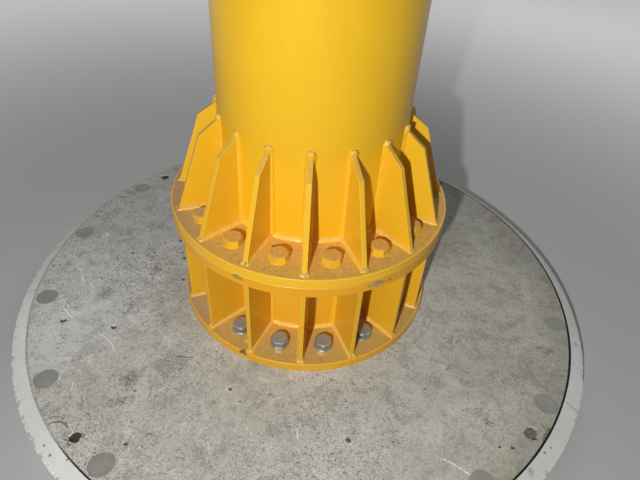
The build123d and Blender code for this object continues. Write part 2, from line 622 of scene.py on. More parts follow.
def finish_piece(name, bm, materials, stands_for=(), sharp=40.0):
    """Makes the object, lets it ride on the CAD body and hides the CAD nodes that it stands for."""
    bmesh.ops.recalc_face_normals(bm, faces=bm.faces)
    mesh = bpy.data.meshes.new(name)
    bm.to_mesh(mesh)
    bm.free()
    mesh.shade_smooth()
    mesh.set_sharp_from_angle(angle=math.radians(sharp))
    for material in materials:
        mesh.materials.append(material)
    piece = bpy.data.objects.new(name, mesh)
    bpy.context.scene.collection.objects.link(piece)
    weighted = piece.modifiers.new("flat_faces", "WEIGHTED_NORMAL")
    weighted.keep_sharp = True
    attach(piece, "root")
    if stands_for:
        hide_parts(*stands_for)
    print(name, len(mesh.polygons), "faces")
    return piece


# %% [markdown]
# Rings and tubes are turned: a closed outline of radius and height is spun once round the column's axis, and the
# last step is merged with the first. A cylinder with a second one cut out of it would give the same ring, but
# with worse faces. A real plate never has a knife edge, so a bevel then rounds each sharp arris and marks it for
# the wear and for a painted highlight.

# %% Turn an outline and round its arrises


def turned(outline, steps=192, angle=math.tau):
    """A closed outline of (radius, height), spun round the axis."""
    bm = bmesh.new()
    corners = [bm.verts.new((radius, 0.0, height)) for radius, height in outline]
    sides = [bm.edges.new(pair) for pair in zip(corners, corners[1:] + corners[:1])]
    bmesh.ops.spin(bm, geom=corners + sides, cent=(0, 0, 0), axis=(0, 0, 1), angle=angle, steps=steps,
                   use_merge=angle == math.tau, use_duplicate=False)
    bmesh.ops.recalc_face_normals(bm, faces=bm.faces)
    return bm


def block(inner, outer, low, high):
    """The outline of a plain ring between two radii and two levels."""
    return [(inner, low), (outer, low), (outer, high), (inner, high)]


def round_arrises(bm, width, segments=2, sharper_than=30.0):
    """Bevels every sharp edge and marks the new faces in the attribute "arris"."""
    marked = bm.faces.layers.float.get("arris") or bm.faces.layers.float.new("arris")
    limit = math.radians(sharper_than)
    sharp = [edge for edge in bm.edges if edge.is_manifold and edge.calc_face_angle(0.0) > limit]
    rounded = bmesh.ops.bevel(bm, geom=sharp, offset=width, offset_type="OFFSET", segments=segments, profile=0.5,
                              affect="EDGES", clamp_overlap=True, material=-1)
    for face in rounded["faces"]:
        face[marked] = 1.0


# %% [markdown]
# The ring plates are flame-cut from thick plate. Their bolt holes could be cut as in the CAD, but
# the bolts fill them, so the rings are turned whole here and the bolts' shanks stand in them.

# %% Ring plates
PLATE_ARRIS = 0.0022

for name, outer, coat in (("base_flange", BASE_R, base_enamel), ("pedestal_flange", JOINT_R, joint_enamel),
                          ("column_flange", JOINT_R, column_flange_enamel)):
    low, high = (corner.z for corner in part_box(name))
    bm = turned(block(BORE_R, outer, low, high))
    round_arrises(bm, PLATE_ARRIS, segments=3)
    finish_piece(name + "_plate", bm, [coat], [name])

# %% [markdown]
# The inside of the tubes was never painted. It still has its mill scale, the dull, brown skin of
# rolled steel. Plain grey would look new, so a noise mixes a dark and a rusty brown.

# %% Mill scale
mill_scale, shader, place = new_material("mill_scale", Metallic=0.35)
patches = rise(grain(place, 11.0, 6.0, 0.65), 0.4, 0.65)
feed(shader["Base Color"], mix(patches, (0.075, 0.062, 0.055), (0.16, 0.088, 0.048)))
feed(shader["Roughness"], patches * 0.25 + 0.6)
feed(shader["Normal"], relief(grain(place, 180.0, 4.0), 0.0006))
print("mill scale", len(tree.nodes), "nodes")

# %% [markdown]
# The column and the pedestal's drum are tubes. Paint and mill scale could be two pieces, but one
# closed tube keeps its wall, so the faces that look at the axis get the second material.

# %% Column and drum
TUBE_ARRIS = 0.0012

for name, coat in (("column_tube", column_enamel), ("pedestal_drum", pedestal_enamel)):
    low, high = (corner.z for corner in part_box(name))
    bm = turned(block(BORE_R, COLUMN_R, low, high), steps=160)
    round_arrises(bm, TUBE_ARRIS)
    for face in bm.faces:
        if face.calc_center_median().xy.length < BORE_R + 0.0008:
            face.material_index = 1
    finish_piece(name + "_painted", bm, [coat, mill_scale], [name])

# %% [markdown]
# A gusset is a flat plate: a short outline is filled, extruded through its thickness, and its
# arrises are rounded. The column's gussets lean in to a knee and then to the tube. The pedestal's
# are plain. All of a ring could be one mesh, but each stands for its own CAD node, so each is
# modelled in front of the column, turned to its bay, and keeps its CAD name.

# %% Gussets
COLUMN_RIB_EDGE, PEDESTAL_RIB_EDGE = 0.016, 0.011
KNEE_REACH, KNEE_HEIGHT, COLUMN_RIB_HEIGHT = 0.057, 0.213, 0.256
COLUMN_RIB = [(COLUMN_R, FLANGE_TOP), (JOINT_R - COLUMN_RIB_EDGE, FLANGE_TOP),
              (COLUMN_R + KNEE_REACH, FLANGE_TOP + KNEE_HEIGHT), (COLUMN_R, FLANGE_TOP + COLUMN_RIB_HEIGHT)]
PEDESTAL_RIB = block(COLUMN_R, BASE_R - PEDESTAL_RIB_EDGE, BASE_TOP, JOINT_UNDERSIDE)
RIB_ARRIS = 0.0014


def gusset(name, outline, half, angle, coat):
    """One gusset plate, turned to its place round the column."""
    bm = bmesh.new()
    side = bm.faces.new([bm.verts.new((-half, -reach, height)) for reach, height in outline])
    grown = bmesh.ops.extrude_face_region(bm, geom=[side])["geom"]
    moved = [part for part in grown if isinstance(part, bmesh.types.BMVert)]
    bmesh.ops.translate(bm, vec=(2.0 * half, 0.0, 0.0), verts=moved)
    bmesh.ops.recalc_face_normals(bm, faces=bm.faces)
    round_arrises(bm, RIB_ARRIS)
    bmesh.ops.rotate(bm, cent=(0, 0, 0), matrix=Matrix.Rotation(angle, 3, "Z"), verts=bm.verts)
    finish_piece(name + "_plate", bm, [coat], [name])


for index in range(BAYS):
    gusset(f"column_rib_{index + 1:02d}", COLUMN_RIB, COLUMN_RIB_HALF, index * BAY, column_plate_enamel)
    gusset(f"pedestal_rib_{index + 1:02d}", PEDESTAL_RIB, PEDESTAL_RIB_HALF, index * BAY, pedestal_enamel)

# %% [markdown]
# Fat fillet welds run down both sides of every gusset, along its foot and round its end, and they
# cap its tip with a knob. A weld is an outline carried from station to station along a corner. A
# station says where the corner is and which way its two legs point, so one closed run of stations
# goes all round a gusset. A curve with this outline could be swept too, but it wouldn't keep both
# legs on their plates round a corner. Extruding the outline's edges and moving only the new ones
# makes each step. Every corner of the mesh remembers how far along it lies, for the ripples.

# %% Lay a weld
WELD_OUTLINE = [(-0.25, -0.25), (1.0, -0.25), (1.0, 0.0), (0.80, 0.32), (0.57, 0.57), (0.32, 0.80), (0.0, 1.0),
                (-0.25, 1.0)]
OUT, UP, SIDE = Vector((0, -1, 0)), Vector((0, 0, 1)), Vector((1, 0, 0))


def extruded(bm, edges):
    """Extrudes these edges on the spot, and gives the new corners and the edges between them."""
    grown = bmesh.ops.extrude_edge_only(bm, edges=edges)["geom"]
    ring = [part for part in grown if isinstance(part, bmesh.types.BMVert)]
    new = set(ring)
    return ring, [part for part in grown if isinstance(part, bmesh.types.BMEdge) and set(part.verts) <= new]


def lay_weld(stations):
    """Carries the weld's outline round a closed run of (corner, first leg, second leg, size)."""
    bm = bmesh.new()
    along = bm.verts.layers.float.new("along")
    frames = []
    for corner, first, second, leg in stations:
        legs = Matrix((first * leg, second * leg, first.cross(second))).transposed().to_4x4()
        frames.append(Matrix.Translation(corner) @ legs)
    ring = [bm.verts.new((a, b, 0.0)) for a, b in WELD_OUTLINE]
    edges = [bm.edges.new(pair) for pair in zip(ring, ring[1:] + ring[:1])]
    bmesh.ops.transform(bm, matrix=frames[0], verts=ring)
    travelled = 0.0
    for before, after in zip(frames, frames[1:] + frames[:1]):
        ring, edges = extruded(bm, edges)
        bmesh.ops.transform(bm, matrix=after @ before.inverted(), verts=ring)
        travelled += (after.translation - before.translation).length
        for corner in ring:
            corner[along] = travelled
    bmesh.ops.remove_doubles(bm, verts=bm.verts, dist=1e-6)
    bmesh.ops.recalc_face_normals(bm, faces=bm.faces)
    return bm


# %% [markdown]
# Most small shapes here are made once and copied. Linked objects could repeat them, but then each
# bolt would be a piece of its own. A mesh can be read into a bmesh again and again, and only the
# corners that came last are moved to their place. A hand-laid weld swells and thins, which noise
# does along each corner's normal.

# %% Copy a shape, and make a weld uneven


def copy_into(bm, model, places=(Matrix(),)):
    """Adds a copy of the model at each of these places. The model is used up."""
    master = bpy.data.meshes.new("master")
    model.to_mesh(master)
    model.free()
    for place in places:
        before = len(bm.verts)
        bm.from_mesh(master)
        bm.verts.ensure_lookup_table()
        bmesh.ops.transform(bm, matrix=place, verts=bm.verts[before:])
    bpy.data.meshes.remove(master)
    return bm


def round_the_axis(count):
    """The turns that spread this many copies evenly round the column."""
    return [Matrix.Rotation(index * math.tau / count, 4, "Z") for index in range(count)]


def make_uneven(bm, most=0.0012):
    """Swells and thins a weld along its run, as a hand-laid one."""
    for corner in bm.verts:
        swell = noise.noise(corner.co * 40.0) + 0.6 * noise.noise(corner.co * 130.0)
        corner.co += corner.normal * most * swell


# %% [markdown]
# The run round a column gusset starts in front of its foot. It turns the corner, goes in along the
# foot, climbs the column, crosses over the tip and comes back down on the other side. Where two
# runs meet in an inner corner, the second leg points halfway between them, as a mitre.

# %% Stations round a gusset
WALL = math.sqrt(COLUMN_R**2 - COLUMN_RIB_HALF**2)
STATION_STEP = 0.009


def straight(start, end, first, second, leg, last_leg=None):
    """Stations along one straight corner, without its two ends. The leg may grow or shrink."""
    count = max(2, round((end - start).length / STATION_STEP))
    legs = [leg + ((last_leg or leg) - leg) * i / count for i in range(count)]
    return [(start.lerp(end, i / count), first, second, legs[i]) for i in range(1, count)]


def round_end(corner, second, leg, lean=0.0, sign=1):
    """Three stations that turn the weld round a foot's outer end, whose edge may lean in."""
    turns = ((OUT, lean), ((OUT + SIDE).normalized(), lean / 2), (SIDE, 0.0))
    return [(corner, first, (second - OUT * back).normalized(), leg) for first, back in turns][::sign]


def mirrored(run):
    """The same stations on the gusset's other side, in the opposite order."""
    flip = Matrix.Scale(-1.0, 4, SIDE)
    return [(flip @ corner, flip @ first, flip @ second, leg) for corner, first, second, leg in run[::-1]]


def column_rib_run(end_leg=0.0065, foot_leg=0.0085, wall_leg=0.0100, tip_leg=0.0062):
    """Stations round a gusset that stands in front of the column."""
    foot, low, tip = COLUMN_RIB[1][0], COLUMN_RIB[0][1], COLUMN_RIB[3][1] - 0.003
    lean = (foot - COLUMN_RIB[2][0]) / (COLUMN_RIB[2][1] - low)
    outer, inner, top = (Vector((COLUMN_RIB_HALF, -r, z)) for r, z in ((foot, low), (WALL, low), (WALL, tip)))
    run = round_end(outer, UP, end_leg, lean) + straight(outer, inner, SIDE, UP, end_leg, foot_leg)
    run += [(inner, SIDE, UP + OUT, foot_leg)] + straight(inner, top, SIDE, OUT, wall_leg, tip_leg)
    run += [(top, (SIDE + UP).normalized(), OUT, tip_leg)]
    front = (Vector((0, -foot, low)), OUT, (UP - OUT * lean).normalized(), end_leg)
    return [front, *run, (Vector((0, -WALL, tip)), UP, OUT, tip_leg), *mirrored(run)]


def pedestal_rib_run(end_leg=0.0065, foot_leg=0.0080, wall_leg=0.0090):
    """Stations round a gusset between the pedestal's two plates."""
    foot, low, high = PEDESTAL_RIB[1][0], PEDESTAL_RIB[0][1], PEDESTAL_RIB[2][1]
    bottom_end, bottom_wall, top_wall, top_end = (
        Vector((PEDESTAL_RIB_HALF, -r, z)) for r, z in ((foot, low), (WALL, low), (WALL, high), (foot, high)))
    run = round_end(bottom_end, UP, end_leg) + straight(bottom_end, bottom_wall, SIDE, UP, end_leg, foot_leg)
    run += [(bottom_wall, SIDE, UP + OUT, foot_leg)] + straight(bottom_wall, top_wall, SIDE, OUT, wall_leg)
    run += [(top_wall, SIDE, OUT - UP, foot_leg)] + straight(top_wall, top_end, SIDE, -UP, foot_leg, end_leg)
    run += round_end(top_end, -UP, end_leg, sign=-1)
    front, back = (Vector((0, -foot, low)), OUT, UP, end_leg), (Vector((0, -foot, high)), OUT, -UP, end_leg)
    return [front, *run, back, *mirrored(run)]


print("stations", len(column_rib_run()), "and", len(pedestal_rib_run()))

# %% [markdown]
# The welder finished each column gusset with a round knob over its tip. The run of the weld could
# swell there, but a small, uneven ball that is half sunk in it looks the same. The same ball with a
# rougher skin breaks the concrete later.

# %% Welds round the gussets
KNOB_HALF_SIZES = (0.0116, 0.0095, 0.0113)


def ball(bm, centre, half_sizes, seed, unevenness=0.38):
    """A ball with three half-sizes and an uneven skin."""
    made = bmesh.ops.create_icosphere(bm, subdivisions=3, radius=1.0)["verts"]
    for corner in made:
        swell = 1.0 + unevenness * noise.noise(corner.co * 1.6 + Vector((seed, 0, 0)))
        corner.co = Vector(half * x * swell for half, x in zip(half_sizes, corner.co))
    bmesh.ops.translate(bm, vec=centre, verts=made)


for kind, run in (("column", column_rib_run()), ("pedestal", pedestal_rib_run())):
    weld = lay_weld(run)
    if kind == "column":
        knob_place = Vector((0.0, -COLUMN_R - 0.001, COLUMN_RIB[3][1] - 0.001))
        ball(weld, knob_place, KNOB_HALF_SIZES, 2.0, 0.30)
    bm = copy_into(bmesh.new(), weld, round_the_axis(BAYS))
    bm.normal_update()
    make_uneven(bm)
    finish_piece(f"{kind}_rib_welds", bm, [weld_enamel], sharp=70.0)

# %% [markdown]
# Ring welds join the column to its flange and the drum to both of its plates. They could be laid
# station by station too, but the same outline turned once round the axis is shorter.

# %% Ring welds
for name, height, up_or_down, leg in (("column_foot_weld", FLANGE_TOP, 1, 0.0095),
                                      ("drum_foot_weld", BASE_TOP, 1, 0.0090),
                                      ("drum_top_weld", JOINT_UNDERSIDE, -1, 0.0085)):
    bm = turned([(COLUMN_R + a * leg, height + b * leg * up_or_down) for a, b in WELD_OUTLINE], steps=320)
    along = bm.verts.layers.float.new("along")
    for corner in bm.verts:
        corner[along] = math.atan2(corner.co.y, corner.co.x) * COLUMN_R
    make_uneven(bm)
    finish_piece(name, bm, [weld_enamel], sharp=70.0)

# %% [markdown]
# The bolts are M30, 46 mm across flats. A cylinder with six sides would have a sharp top. A forged
# head has a round chamfer that cuts its six corners off. So it starts as a circle of 48 corners, and
# each is moved out to the hexagon. The top ring is a true circle, and a cone joins the two. A nut
# has the chamfer on both of its ends.

# %% Hexagon heads and nuts
FLAT_R = 0.046 / 2
CHAMFER_SLOPE = math.tan(math.radians(32))
WASHER_ARRIS = 0.0006


def hexagon(bm, low, high, chamfer=0.94, both_ends=False):
    """A hexagon with a round chamfer on its top, and on its underside too if asked."""
    circle_r = FLAT_R * chamfer
    levels = [("hexagon", low), ("hexagon", high), ("circle", high)]
    if both_ends:
        levels.insert(0, ("circle", low))
    ring = bmesh.ops.create_circle(bm, cap_ends=False, segments=48, radius=1.0)["verts"]
    edges = first_edges = list(dict.fromkeys(edge for corner in ring for edge in corner.link_edges))
    for step, (shape, height) in enumerate(levels):
        if step:
            ring, edges = extruded(bm, edges)
        for corner in ring:
            direction = corner.co.xy.normalized()
            radius, drop = circle_r, 0.0
            if shape == "hexagon":
                angle = math.atan2(direction.y, direction.x) % (math.pi / 3)
                radius = FLAT_R / math.cos(angle - math.pi / 6)
                drop = max(0.0, radius - circle_r) * CHAMFER_SLOPE
            if height == low:
                drop = -drop if both_ends else 0.0
            corner.co = (direction.x * radius, direction.y * radius, height - drop)
    bmesh.ops.contextual_create(bm, geom=first_edges)
    bmesh.ops.contextual_create(bm, geom=edges)
    return bm


def collar(bm, radius, low, high, hole=0.0155, steps=40):
    """A washer, or a plain disc where the hole is hidden."""
    made = turned(block(hole, radius, low, high), steps=steps)
    round_arrises(made, WASHER_ARRIS, segments=1)
    copy_into(bm, made)


def seat_all(name, model, radius, turns, material):
    """Copies one fastener into the middle of every bay, each turned a little differently."""
    seats = []
    for index, turned_by in enumerate(turns):
        angle = (index + 0.5) * BAY
        seats.append(Matrix.Translation(around(radius, angle)) @ Matrix.Rotation(angle + turned_by, 4, "Z"))
    finish_piece(name, copy_into(bmesh.new(), model, seats), [material], sharp=24.0)


# %% [markdown]
# The joint's bolts go down through both ring plates. Their heads and the thin washers under them
# were painted where they sit, and a washer, a nut and the end of the thread hang under the
# pedestal's plate. A thread is a helix, but nobody sees it climb on so short an end, so it is a
# stack of four turned rings. No two heads are turned alike, because no fitter does that.

# %% Joint bolts
HEAD_TURNS = [0.13, 0.25, -0.22, 0.05, 0.42, -0.30, 0.18, 0.50, -0.12, 0.28, 0.00, 0.46, -0.38, 0.22, -0.32, 0.40]
WASHER, NUT_WASHER = 0.004, 0.005
WASHER_R, NUT_WASHER_R = 0.0258, 0.0280
HEAD, NUT = 0.0187, 0.024
SHANK_R, ROOT_R, THREAD_PITCH = 0.0150, 0.0134, 0.0035

bm = hexagon(bmesh.new(), FLANGE_TOP + WASHER, FLANGE_TOP + WASHER + HEAD)
collar(bm, WASHER_R, FLANGE_TOP, FLANGE_TOP + WASHER, steps=48)
collar(bm, SHANK_R, JOINT_UNDERSIDE, FLANGE_TOP, hole=0.004, steps=24)
seat_all("joint_bolts", bm, JOINT_BOLT_R, HEAD_TURNS, bolt_enamel)

nut_top = JOINT_UNDERSIDE - NUT_WASHER
bm = hexagon(bmesh.new(), nut_top - NUT, nut_top, both_ends=True)
collar(bm, NUT_WASHER_R, nut_top, JOINT_UNDERSIDE)
for turn_of_thread in range(1, 5):
    low = nut_top - NUT - 0.0005 - THREAD_PITCH * turn_of_thread
    thread = [(0.004, low), (ROOT_R, low), (SHANK_R, low + THREAD_PITCH / 2), (ROOT_R, low + THREAD_PITCH),
              (0.004, low + THREAD_PITCH)]
    copy_into(bm, turned(thread, steps=24))
seat_all("joint_nuts", bm, JOINT_BOLT_R, [-t for t in HEAD_TURNS], bolt_enamel)

# %% [markdown]
# The anchor bolts were put in after the paint. They are bare hot-dip galvanised steel, grey and
# softly shining, with a little dust on top, and each sits on a round washer. One even grey would
# look like plastic. Zinc sets in small crystals, so Voronoi cells change its shade from one to the
# next.

# %% Galvanised steel and the anchor bolts
ANCHOR_HEAD, ANCHOR_WASHER_R = 0.0192, 0.0272

galvanised, shader, place = new_material("galvanised_steel")
spangle = axes(add("TexVoronoi", {"Vector": place, "Scale": 240.0}, "Color"))[0]
dull = rise(grain(place, 60.0, 5.0, 0.6), 0.4, 0.7)
dusty = use(settled_dust, Patchiness=0.6) * 0.55
zinc = mix(spangle * 0.6, (0.48, 0.55, 0.59), (0.25, 0.285, 0.305))
feed(shader["Base Color"], mix(dusty, zinc, (0.25, 0.280, 0.280)))
feed(shader["Metallic"], 0.9 - dusty * 0.8)
feed(shader["Roughness"], (dull + dusty) * 0.22 + 0.27)
feed(shader["Normal"], relief(grain(place, 320.0, 3.0), 0.0003))

bm = hexagon(bmesh.new(), BASE_TOP + WASHER, BASE_TOP + WASHER + ANCHOR_HEAD, chamfer=0.90)
collar(bm, ANCHOR_WASHER_R, BASE_TOP, BASE_TOP + WASHER, steps=48)
seat_all("anchor_bolts", bm, ANCHOR_BOLT_R, HEAD_TURNS[::-1], galvanised)

# %% [markdown]
# The slab is cast concrete, worn smooth by feet. Its colour comes from several sizes of noise, from
# wide clouds to single grains, and from what happened to it: dark blots, pale scratches, air holes
# and the print of a ribbed sole. The larger marks are named here, in metres. A stroke is its start,
# its end, how far it bows, its width and how broken it is. A spot is its place and half its width,
# and a ring is its place, its radius, its width and its strength.

# %% Marks on the slab
PALE_STROKES = [
    (-0.774, -0.017, -0.741, -0.056, 0.003, 0.0030, 0.6), (-0.741, -0.056, -0.716, -0.092, -0.003, 0.0040, 0.3),
    (-0.706, -0.088, -0.684, -0.112, 0.002, 0.0024, 0.6), (-0.670, -0.048, -0.630, 0.052, -0.008, 0.0024, 0.7),
    (-0.748, -0.193, -0.694, -0.242, -0.006, 0.0038, 0.2), (-0.598, -0.297, -0.532, -0.361, 0.008, 0.0036, 0.2),
    (-0.650, -0.463, -0.644, -0.404, 0.004, 0.0024, 0.7), (-0.611, -0.465, -0.606, -0.492, 0.0, 0.0030, 0.3),
    (-0.602, -0.468, -0.598, -0.488, 0.0, 0.0026, 0.3), (-0.604, -0.383, -0.588, -0.372, 0.0, 0.0034, 0.3),
    (-0.620, -0.399, -0.607, -0.394, 0.0, 0.0028, 0.4), (-0.596, -0.398, -0.586, -0.388, 0.0, 0.0028, 0.4),
    (-0.738, 0.136, -0.718, 0.160, 0.002, 0.0034, 0.4), (-0.738, 0.168, -0.719, 0.140, 0.0, 0.0028, 0.4),
    (0.002, -0.570, 0.006, -0.598, 0.0, 0.0044, 0.2), (0.364, -0.630, 0.445, -0.680, 0.004, 0.0060, 0.9),
]
DARK_STROKES = [
    (-0.632, -0.598, -0.572, -0.598, 0.017, 0.0078, 0.0), (-0.630, -0.574, -0.590, -0.577, 0.007, 0.0036, 0.3),
    (-0.550, -0.600, -0.515, -0.632, 0.004, 0.0016, 0.8), (-0.354, -0.364, -0.322, -0.366, 0.002, 0.0048, 0.4),
    (-0.541, -0.552, -0.526, -0.578, 0.003, 0.0018, 0.7), (-0.572, -0.506, -0.563, -0.524, -0.002, 0.0020, 0.7),
    (-0.505, -0.553, -0.495, -0.570, 0.0, 0.0018, 0.6), (-0.472, -0.514, -0.452, -0.522, 0.001, 0.0020, 0.7),
    (0.640, -0.570, 0.676, -0.530, 0.0, 0.0100, 0.5),
]
DARK_SPOTS = [
    (-0.721, -0.253, 0.0110), (-0.565, -0.269, 0.0095), (-0.187, -0.463, 0.0065), (-0.607, 0.063, 0.0060),
    (-0.417, -0.633, 0.0050), (0.134, -0.594, 0.0080), (0.524, -0.593, 0.0050), (0.557, -0.594, 0.0055),
    (-0.797, 0.259, 0.0055), (-0.744, 0.388, 0.0055), (-0.459, 0.143, 0.0075), (-0.426, 0.051, 0.0070),
    (-0.405, -0.054, 0.0070), (-0.439, -0.482, 0.0045), (-0.332, -0.470, 0.0035), (-0.154, -0.500, 0.0035),
]
RING_MARKS = [
    (-0.658, -0.272, 0.060, 0.0022, 0.60), (0.481, -0.394, 0.024, 0.0018, 0.35),
]
STAINS = [
    (-0.470, -0.446, 0.060), (-0.550, 0.021, 0.070), (-0.629, -0.132, 0.045), (-0.560, -0.179, 0.045),
    (0.515, -0.524, 0.045), (0.454, -0.251, 0.050), (0.743, -0.271, 0.040), (-0.457, -0.512, 0.040),
    (0.640, -0.560, 0.050), (-0.500, -0.040, 0.080), (0.481, -0.394, 0.034),
]
PALE_PATCHES = [
    (-0.420, -0.428, 0.030), (-0.655, -0.268, 0.050), (0.360, -0.560, 0.060), (-0.440, -0.160, 0.050),
    (0.180, -0.560, 0.050),
]


def drawn(x1, y1, x2, y2, bow, width, breaks):
    """The mask of one stroke."""
    return use(stroke, From=(x1, y1, 0), To=(x2, y2, 0), Bow=bow, Width=width, Breaks=breaks)


def spot(x, y, size, ragged, softness, wide=0.8, deep=0.05, height=PLINTH_TOP):
    """The mask of one blot that lies flat on the concrete."""
    return use(blot, Place=(x, y, height), Size=(size, size * wide, deep), Ragged=ragged, Softness=softness)


print("strokes", len(PALE_STROKES) + len(DARK_STROKES), "spots", len(DARK_SPOTS + STAINS + PALE_PATCHES))

# %% [markdown]
# Bare concrete first: wide clouds, mottling and wisps change its grey, and two sizes of grain give
# it its bite. One noise alone would look like cloud or like sand, and only all sizes together look
# like concrete. Feet have polished the right side, so the grains fade there.

# %% Slab: bare concrete
slab_concrete, slab_shader, slab_place = new_material("slab_concrete")
to_right, to_back, _ = axes(slab_place)
clouds = grain(slab_place, 2.6, 5.0, 0.6)
mottling = grain(slab_place, 17.0, 8.0, 0.72)
crumbs = grain(slab_place, 105.0, 6.0, 0.72)
grit = grain(slab_place, 230.0, 3.0, 0.65)
wisps = grain(slab_place, 9.0, 9.0, 0.74, distortion=1.1)
colour = mix(rise(clouds, 0.3, 0.7), (0.500, 0.495, 0.436), (0.570, 0.567, 0.510))
colour = mix(rise(mottling, 0.50, 0.62) * 0.50, colour, (0.290, 0.283, 0.245))
colour = mix(rise(wisps, 0.51, 0.64) * 0.55, colour, (0.72, 0.715, 0.665))
colour = mix(rise(wisps, 0.48, 0.37) * 0.50, colour, (0.300, 0.293, 0.255))
rough_areas = rise(grain(slab_place, 4.5, 5.0, 0.65), 0.40, 0.62) * 0.55 + 0.45
rough_areas = rough_areas * (1.16 - rise(to_right, -0.05, 0.45) * 0.46)
for texture, pale_share in ((crumbs, 0.55), (grit, 0.56)):
    dark_grains = rise(texture, 0.550, 0.610) * 0.72 * rough_areas
    pale_grains = rise(texture, 0.450, 0.390) * pale_share * rough_areas
    colour = mix(dark_grains, colour, (0.190, 0.185, 0.160))
    colour = mix(pale_grains, colour, (0.72, 0.72, 0.68))
print("bare concrete", len(tree.nodes), "nodes")

# %% [markdown]
# The slab isn't one grey all over. Wide tints paint the lamp's light and shade on it: it is paler on the left and
# at the front, and darker to the right and at the back. It is also darker along the right-hand edge and in a
# patch on the right. Each is a tint that fades in over a wide step.

# %% Slab: wide tints
painted_light_left = use(blot, Place=(-0.61, -0.24, PLINTH_TOP), Size=(0.36, 0.32, 0.5), Ragged=0.3, Softness=0.9)
darker_patch_right = use(blot, Place=(0.55, -0.35, PLINTH_TOP), Size=(0.25, 0.19, 0.5), Ragged=0.6, Softness=0.9)
right_edge = rise(from_axis(slab_place), 0.74, 0.85) * rise(to_right, 0.35, 0.62)
# Painted light on the left and at the front, painted shade to the right and at the back.
for share, tint in (
    (painted_light_left, (1.175, 1.20, 1.26)),
    (rise(to_back, -0.10, -0.40), (1.05, 1.05, 1.055)),
    (rise(to_right, 0.05, 0.60), (0.865, 0.855, 0.805)),
    (right_edge, (0.84, 0.83, 0.80)),
    (darker_patch_right, (0.860, 0.865, 0.860)),
    (rise(to_back, 0.0, 0.28), (0.835, 0.84, 0.86)),
):
    colour = tinted(colour, share, tint)
print("tinted", len(tree.nodes), "nodes")

# %% [markdown]
# Then the pale and dark patches, which the mottling breaks up, the fine hairs, fewer on the side
# that is worn smooth, and a brown smear of mortar by the right-hand socket. The order counts: each
# mix covers what came before it, as each mark covers the older ones.

# %% Slab: patches and hairs
for x, y, size in PALE_PATCHES:
    patch = spot(x, y, size, 1.2, 0.8) * rise(mottling, 0.60, 0.45)
    colour = mix(patch * 0.45, colour, (0.72, 0.72, 0.69))
for x, y, size in STAINS:
    stain = spot(x, y, size, 1.4, 0.9) * rise(mottling, 0.44, 0.58) * rise(crumbs, 0.42, 0.54)
    colour = mix(stain * 0.76, colour, (0.160, 0.156, 0.138))
worn_smooth = 1.0 - rise(to_right, -0.35, 0.10) * 0.55
short_hairs = use(fine_hairs, Scale=52.0, Width=0.026, Amount=0.45, Shift=3.1)
long_hairs = use(fine_hairs, Scale=21.0, Width=0.011, Amount=0.60, Shift=0.0)
pale_hairs = use(fine_hairs, Scale=15.0, Width=0.007, Amount=0.65, Shift=7.3)
mortar_smear = use(blot, Place=(0.625, -0.578, PLINTH_TOP), Size=(0.052, 0.062, 0.05), Ragged=0.9, Softness=0.6)
colour = mix(short_hairs * worn_smooth * 0.62, colour, (0.130, 0.126, 0.110))
colour = mix(long_hairs * worn_smooth * 0.65, colour, (0.130, 0.126, 0.110))
colour = mix(mortar_smear * 0.75, colour, (0.420, 0.385, 0.355))
colour = mix(pale_hairs * 0.60, colour, (0.76, 0.76, 0.73))
print("patches and hairs", len(tree.nodes), "nodes")

# %% [markdown]
# Scratches are pale, and ring marks show only on the side nearest to the front. The print of a
# ribbed sole is a sine wave across the shoe, kept inside a ragged frame: its ribs run one way, and
# it ends at four uneven sides.

# %% Slab: scratches and the print of a sole
SOLE_MIDDLE = (-0.373, -0.388, PLINTH_TOP)
SOLE_ALONG, SOLE_ACROSS = (0.616, 0.788, 0.0), (-0.788, 0.616, 0.0)
SOLE_HALF_LENGTH, SOLE_HALF_WIDTH, SOLE_STEP = 0.036, 0.034, 0.0078

for line in PALE_STROKES:
    colour = mix(drawn(*line) * 0.95, colour, (0.90, 0.895, 0.87))
for x, y, radius, width, share in RING_MARKS:
    mark = use(ring_mark, Place=(x, y, PLINTH_TOP), Radius=radius, Width=width)
    colour = mix(mark * rise(to_back, y + radius * 0.6, y) * share, colour, (0.150, 0.146, 0.128))
from_middle = vectors("SUBTRACT", slab_place, SOLE_MIDDLE)
along = vectors("DOT_PRODUCT", from_middle, SOLE_ALONG, give="Value")
across = vectors("DOT_PRODUCT", from_middle, SOLE_ACROSS, give="Value")
sole_ribs = rise(calc("SINE", across * (math.tau / SOLE_STEP)), 0.0, 0.5)
reach = strongest(abs(along) / SOLE_HALF_LENGTH, abs(across) / SOLE_HALF_WIDTH)
ragged_reach = reach + grain(slab_place, 60.0, 4.0) * 0.5
sole_print = rise(ragged_reach, 1.30, 1.10) * rise(crumbs, 0.36, 0.46)
colour = mix(sole_print * 0.35, colour, (0.62, 0.62, 0.59))
colour = mix(sole_print * sole_ribs * 0.75, colour, (0.135, 0.130, 0.115))
print("scratches", len(PALE_STROKES), "and ring marks", len(RING_MARKS))

# %% [markdown]
# Last what goes into the concrete: air holes, dark cracks and the larger dark spots. A bump is enough for holes
# this small, and they lie lower in it than the rest. On the right the joint round the slab stands open, and the
# shadow in it is painted black on its lips.

# %% Slab: holes and cracks
GAP_SHADOW_BLACK = (0.010, 0.009, 0.008)


def painted_gap_shadow(place, starts, full):
    """Painted shadow: the black lip of the open joint on the right, between two radii."""
    to_right, to_back, _ = axes(place)
    return rise(from_axis(place), starts, full) * rise(to_right, 0.40, 0.60) * rise(to_back, -0.48, -0.26)


